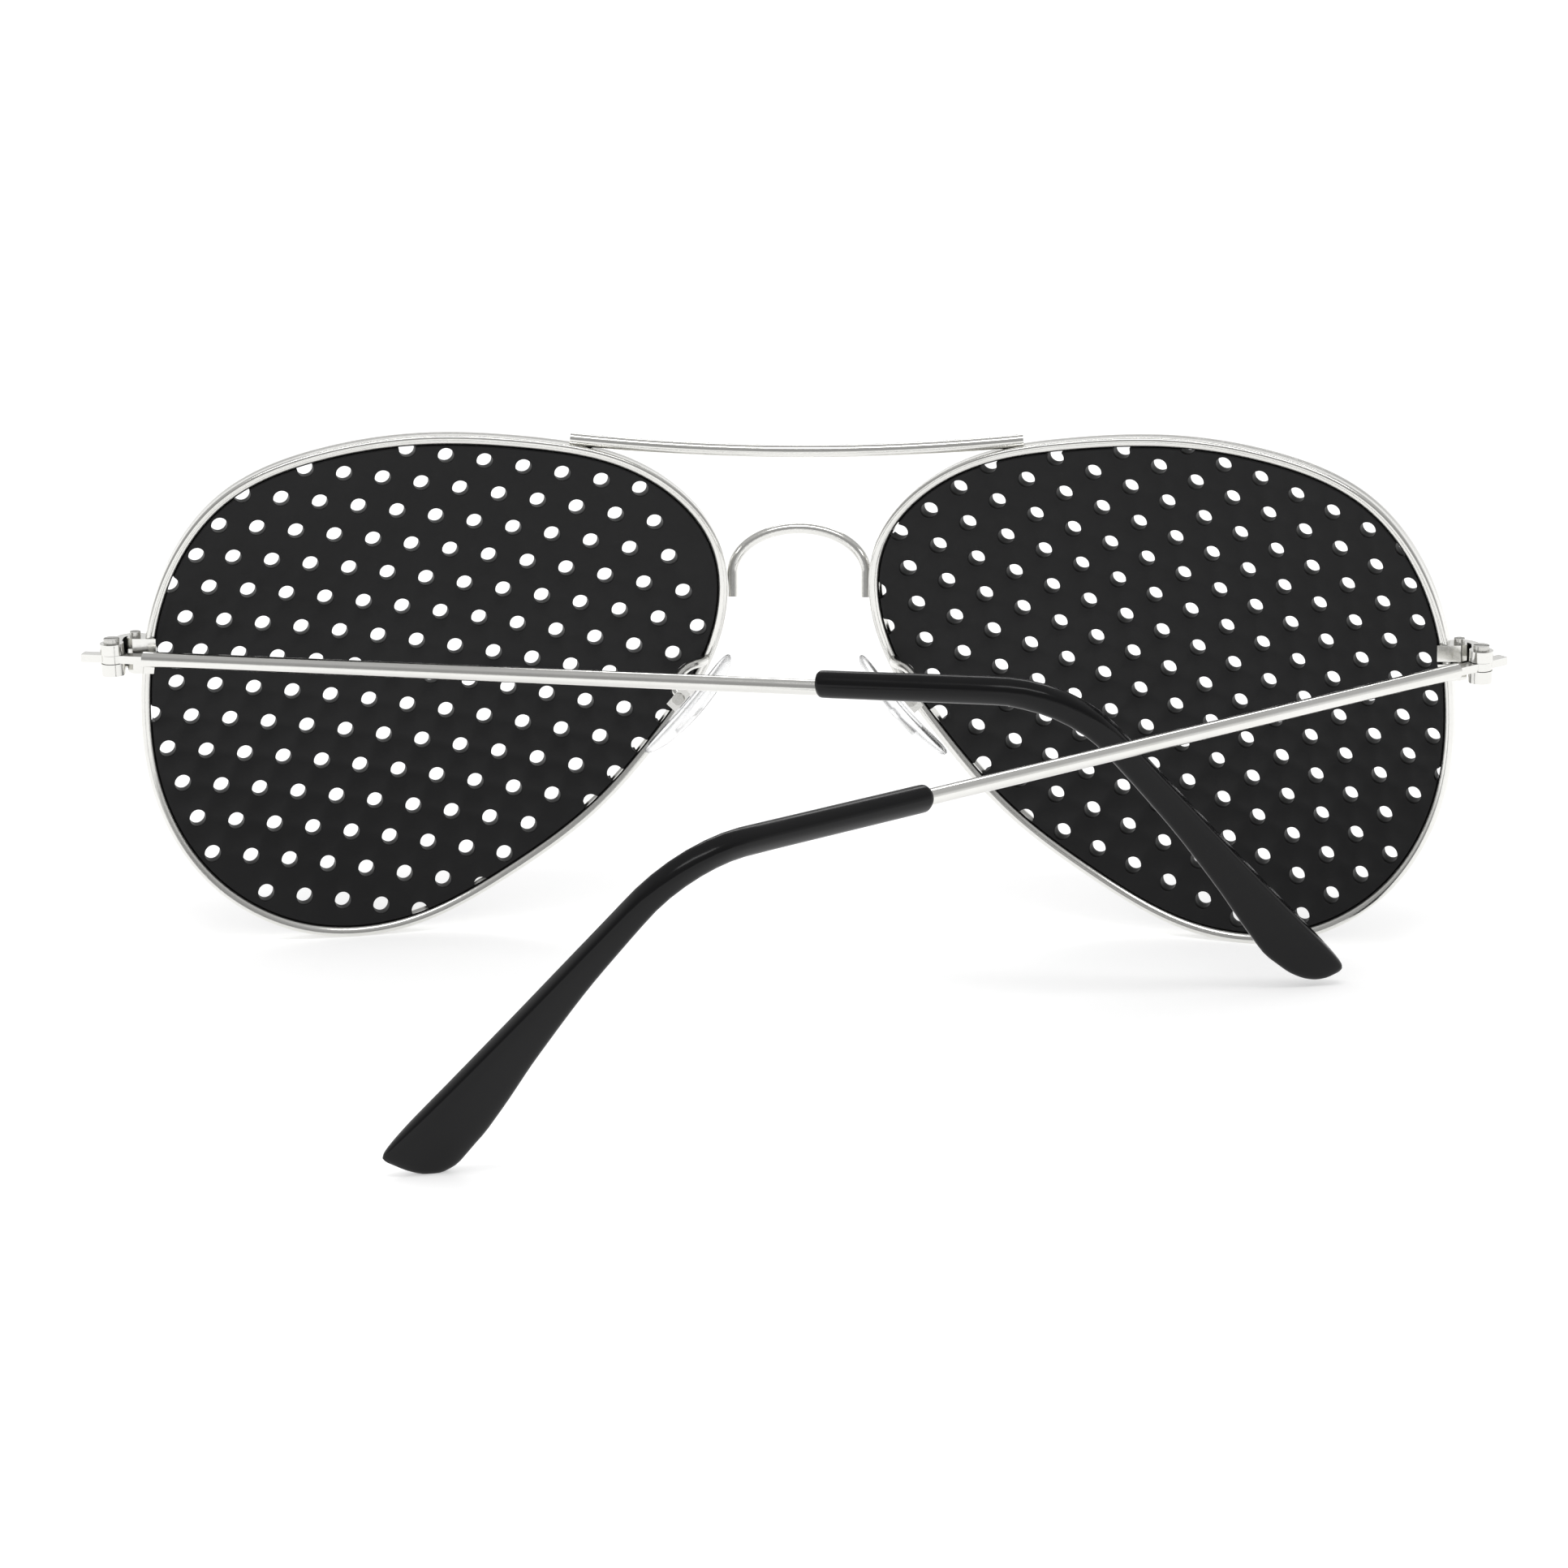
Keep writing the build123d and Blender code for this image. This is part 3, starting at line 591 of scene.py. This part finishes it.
TIPS = {
    "left": TipShape(
        fold=75.87, corner=99.6, rise_start=0.5, rise_bend=0.6, leg=45.4,
        girth=1.12, widening=0.82, fullness=0.75, bow=2.8,
    ),
    "right": TipShape(
        fold=44.45, corner=103.6, rise_start=0.0, rise_bend=0.0, leg=41.6,
        girth=1.03, widening=1.2, fullness=1.12, bow=0.0,
    ),
}
# Where a tip's bow starts, as a share of its length, how it grows, and its direction, back and a little up
BOW_START = 0.42
BOW_POWER = 1.3
BOW_WAY = Vector((0.0, -0.961, 0.276))
# Where the part begins that the fullness scales, as a share of the length
END_START = 0.9
# Share of the tip's length, width towards the upper edge, width towards the lower edge, share of the thickness,
# squareness of the section
TIP_STATIONS = np.array([
    (0.0, 1.10, 1.10, 0.86, 2.4),
    (0.002, 1.20, 1.20, 0.98, 2.4),
    (0.006, 1.26, 1.26, 1.06, 2.4),
    (0.022, 1.27, 1.27, 1.08, 2.4),
    (0.12, 1.27, 1.27, 1.08, 2.5),
    (0.30, 1.27, 1.27, 1.08, 2.7),
    (0.45, 1.18, 1.27, 1.05, 3.0),
    (0.60, 1.06, 1.72, 1.0, 3.4),
    (0.75, 0.96, 2.90, 0.98, 3.8),
    (0.85, 0.95, 4.05, 0.96, 4.0),
    (0.90, 0.98, 4.45, 0.93, 4.0),
    (0.94, 1.0, 4.45, 0.88, 3.8),
    (0.965, 0.98, 4.05, 0.80, 3.4),
    (0.983, 0.92, 3.15, 0.68, 3.0),
    (0.994, 0.82, 1.85, 0.50, 2.6),
    (1.0, 0.62, 0.35, 0.26, 2.2),
])
TIP_RINGS = 72
TIP_SIDES = 40
RING_CROWDING = 0.145
SLEEVE_STEPS = 12
BEND_STEPS = 16
LEG_STEPS = 30


def ear_frame(fold):
    """Along the temple, up and sideways, of a right temple's ear bend."""
    along, pin = Vector((0, -1, 0)), Vector((0, 0, 1))
    across = pin.cross(along)
    along, pin = turned(along, across, TEMPLE_DIP), turned(pin, across, TEMPLE_DIP)
    pin = turned(pin, along, -PIN_LEAN_OUT)
    along = turned(along, pin, -fold)
    sideways = turned(-pin.cross(along), along, -TIP_TILT)
    return along, sideways.cross(along), sideways


def tip_route(tip):
    """Places and headings along the tip's middle line, in its ear plane, with their distances."""
    bend = radians(TIP_BEND)
    shank = TIP_BEND_RADIUS * tan(bend / 2)
    straight = tip.corner - shank - TIP_START
    places = []
    for k in range(SLEEVE_STEPS):
        share = k / SLEEVE_STEPS
        rise = tip.rise_start + (tip.rise_bend - tip.rise_start) * share * share * (3 - 2 * share)
        places.append((TIP_START + straight * share, rise, 0.0))
    for k in range(BEND_STEPS):
        a = bend * k / BEND_STEPS
        x = tip.corner - shank + TIP_BEND_RADIUS * sin(a)
        places.append((x, tip.rise_bend - TIP_BEND_RADIUS * (1 - cos(a)), a))
    for k in range(LEG_STEPS + 1):
        run = shank + (tip.leg - shank) * k / LEG_STEPS
        places.append((tip.corner + run * cos(bend), tip.rise_bend - run * sin(bend), bend))
    places = np.array(places)
    steps = np.hypot(*np.diff(places[:, :2], axis=0).T)
    return places, np.concatenate([[0.0], np.cumsum(steps)])


def eased(table, share, column):
    """A column of the table at share, eased between its rows by a monotone cubic."""
    x, y = table[:, 0], table[:, column]
    slopes = np.diff(y) / np.diff(x)
    ways = np.zeros(len(x))
    for i in range(1, len(x) - 1):
        if slopes[i - 1] * slopes[i] > 0:
            ways[i] = 2 * slopes[i - 1] * slopes[i] / (slopes[i - 1] + slopes[i])
    ways[-1] = slopes[-1]
    i = min(max(int(np.searchsorted(x, share)) - 1, 0), len(x) - 2)
    gap = x[i + 1] - x[i]
    t = (share - x[i]) / gap
    rise = y[i] * (1 + 2 * t) * (1 - t) ** 2 + y[i + 1] * t * t * (3 - 2 * t)
    return float(rise + gap * (ways[i] * t * (1 - t) ** 2 - ways[i + 1] * t * t * (1 - t)))


def squared(value, squareness):
    """A circle's sine or cosine, pushed out towards a square's."""
    return abs(value) ** (2 / squareness) * (1 if value > 0 else -1)


def past(share, start):
    """How far share has gone from start to the tip's end, from 0 to 1."""
    return max(0.0, share - start) / (1 - start)


def ear_tip(side):
    sign = side_sign(side)
    tip = TIPS[side]
    along, up, sideways = ear_frame(tip.fold)
    route, run = tip_route(tip)
    mesh = bmesh.new()
    rings = []
    for k in range(TIP_RINGS):
        # rings lie closer together at both ends
        t = k / (TIP_RINGS - 1)
        share = t - sin(2 * pi * t) * RING_CROWDING
        x, y, a = (np.interp(share * run[-1], run, route[:, i]) for i in range(3))
        upper, lower, thick, square = (eased(TIP_STATIONS, share, i) for i in (1, 2, 3, 4))
        if lower > upper:
            lower = upper * tip.girth + (lower - upper) * tip.widening
            lower *= 1 + (tip.fullness - 1) * past(share, END_START)
        upper *= tip.girth
        heading_across = along * sin(a) + up * cos(a)
        twist = radians(TIP_TWIST) * a / radians(TIP_BEND)
        wide = heading_across * cos(twist) + sideways * sin(twist)
        flat = sideways * cos(twist) - heading_across * sin(twist)
        centre = PIN_PLACE + along * x + up * y + wide * (upper - lower) / 2
        centre = centre + BOW_WAY * tip.bow * past(share, BOW_START) ** BOW_POWER
        ring = []
        for j in range(TIP_SIDES):
            b = 2 * pi * j / TIP_SIDES
            p = squared(cos(b), square) * (upper + lower) / 2
            q = squared(sin(b), square) * thick * TIP_THICKNESS / 2
            ring.append(mesh.verts.new(to_side(sign, centre + wide * p + flat * q)))
        rings.append(ring)
    skin(mesh, rings)
    piece = finished_piece(f"ear_tip_{side}", mesh, TIP_SHARP_DEGREES, tip_black)
    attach(piece, f"temple_{side}")
    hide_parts(f"temple_tip_{side}")


for side in SIDES:
    rim_wire(side)
    ear_tip(side)

# Nose pads: clear bowed drops, thickest along the middle, fuller below, curling away at the sides
PAD_PLACE = Vector((11.45, -7.0, 25.3))
PAD_SLANT = radians(50.0)
PAD_SPLAY = 12.0
PAD_HALF_LENGTH = 6.6
PAD_HALF_WIDTH = 3.6
PAD_FULLER = 0.16
PAD_MIDDLE = 1.65
PAD_HALF_THICKNESS = 0.75
PAD_EDGE_POWER = 5
PAD_BOW = 0.018
PAD_CURL = 0.02
PAD_RINGS = 14
PAD_SIDES = 56
PAD_SHARP_DEGREES = 180


def nose_pad(side):
    sign = side_sign(side)
    down = Vector((cos(PAD_SLANT), 0, -sin(PAD_SLANT)))
    inward = turned(Vector((-sin(PAD_SLANT), 0, -cos(PAD_SLANT))), down, -PAD_SPLAY)
    across = inward.cross(down)
    mesh = bmesh.new()

    def spot(share, a, face):
        """A vertex at a share of the way out, in direction a, on face 1 or -1."""
        x = PAD_HALF_LENGTH * share * cos(a)
        y = PAD_HALF_WIDTH * share * sin(a) * (1 + PAD_FULLER * cos(a))
        height = PAD_HALF_THICKNESS * sqrt(max(0.0, 1 - share**PAD_EDGE_POWER)) * face
        z = PAD_MIDDLE + height - PAD_BOW * x * x - PAD_CURL * y * y
        return mesh.verts.new(to_side(sign, PAD_PLACE + down * x + across * y + inward * z))

    def ring(share, face):
        return [spot(share, 2 * pi * j / PAD_SIDES, face) for j in range(PAD_SIDES)]

    shares = [sin(pi / 2 * k / PAD_RINGS) for k in range(1, PAD_RINGS + 1)]
    top = spot(0, 0, 1)
    rings = [ring(share, 1) for share in shares] + [ring(share, -1) for share in reversed(shares[:-1])]
    bottom = spot(0, 0, -1)
    for j in range(PAD_SIDES):
        k = (j + 1) % PAD_SIDES
        mesh.faces.new((top, rings[0][j], rings[0][k]))
        mesh.faces.new((rings[-1][j], bottom, rings[-1][k]))
        for first, second in zip(rings, rings[1:]):
            mesh.faces.new((first[j], second[j], second[k], first[k]))
    piece = finished_piece(f"clear_pad_{side}", mesh, PAD_SHARP_DEGREES, pad_clear)
    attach(piece, f"pad_{side}")
    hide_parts(f"nose_pad_{side}")


for side in SIDES:
    nose_pad(side)

# Floor: white paper that takes the shadows and glows a little, so that it comes out white
FLOOR_HALF = 1.5
FLOOR_GLOW = 0.43
PAPER_GREYS = (0.79, 0.80)

floor_mesh = bpy.data.meshes.new("floor")
floor_mesh.from_pydata(
    [(x * FLOOR_HALF, y * FLOOR_HALF, 0) for x, y in ((-1, -1), (1, -1), (1, 1), (-1, 1))], [], [(0, 1, 2, 3)]
)
floor = add_object("floor", floor_mesh)
floor_material = bpy.data.materials.new("floor_white")
paper = Tree(floor_material)
path = paper.node("ShaderNodeLightPath")
seen = paper.math("MAXIMUM", path.outputs["Is Camera Ray"], path.outputs["Is Glossy Ray"])
seen = paper.math("MAXIMUM", seen, path.outputs["Is Transmission Ray"])
strength = paper.math("MULTIPLY", seen, FLOOR_GLOW)
glow = paper.node("ShaderNodeEmission", {"Color": (*WHITE, 1.0), "Strength": strength})
fibre = paper.noise(paper.place(), scale=60.0, detail=3.0, roughness=0.5)
greys = [(grey,) * 3 for grey in PAPER_GREYS]
sheet = paper.node("ShaderNodeBsdfDiffuse", {"Color": paper.blend(fibre, *greys)})
both = paper.node("ShaderNodeAddShader", {0: sheet.outputs[0], 1: glow.outputs[0]})
paper.node("ShaderNodeOutputMaterial", {"Surface": both.outputs[0]})
floor_mesh.materials.append(floor_material)

# Studio: plain white behind everything. Metal and gloss see walls that darken towards the ceiling, and a dark
# strip on the viewer's side between the floor and the ceiling. Heights are those of a ray's direction.
DARK_LEVEL = 0.36
CEILING_LEVEL = 0.5
WALL_LEVEL = 1.0
SOFT_LEVEL = 0.75
WHITE_LEVEL = 1.0
STRIP_SIDE = (-0.45, 0.1)
STRIP_BOTTOM = (-0.02, 0.06)
STRIP_TOP = (0.55, 0.8)
WALL_TOP = (0.15, 0.45)

world = bpy.data.worlds.new("studio")
bpy.context.scene.world = world
sky = Tree(world)
path = sky.node("ShaderNodeLightPath")
parts = sky.node("ShaderNodeSeparateXYZ", {0: sky.node("ShaderNodeTexCoord").outputs["Generated"]})
sideways, height = parts.outputs["Y"], parts.outputs["Z"]
near_side = sky.between(sideways, 1.0, 0.0, *STRIP_SIDE)
above_floor = sky.between(height, 0.0, 1.0, *STRIP_BOTTOM)
below_ceiling = sky.between(height, 1.0, 0.0, *STRIP_TOP)
strip = sky.math("MULTIPLY", near_side, sky.math("MULTIPLY", above_floor, below_ceiling))
room = sky.between(height, WALL_LEVEL, CEILING_LEVEL, *WALL_TOP)
studio = sky.mix(strip, room, DARK_LEVEL)
tone = sky.mix(path.outputs["Is Glossy Ray"], SOFT_LEVEL, studio)
plain = sky.math("MAXIMUM", path.outputs["Is Camera Ray"], path.outputs["Is Transmission Ray"])
level = sky.mix(plain, tone, WHITE_LEVEL)
backdrop = sky.node("ShaderNodeBackground", {"Color": (*WHITE, 1.0), "Strength": level})
sky.node("ShaderNodeOutputWorld", {"Surface": backdrop.outputs[0]})

# Two long soft boxes, one above the viewer's side and one above the far side: place and watts
LAMP_SIZE = (0.7, 0.16)
LAMPS = {
    "front_box": (Vector((0.0, -0.38, 0.95)), 2.0),
    "back_box": (Vector((0.0, 0.72, 0.72)), 1.4),
}
for name, (place, energy) in LAMPS.items():
    lamp_data = bpy.data.lights.new(name, "AREA")
    lamp_data.shape = "RECTANGLE"
    lamp_data.size, lamp_data.size_y = LAMP_SIZE
    lamp_data.energy = energy
    lamp = add_object(name, lamp_data)
    lamp.location = place
    lamp.rotation_euler = place.to_track_quat("Z", "Y").to_euler()
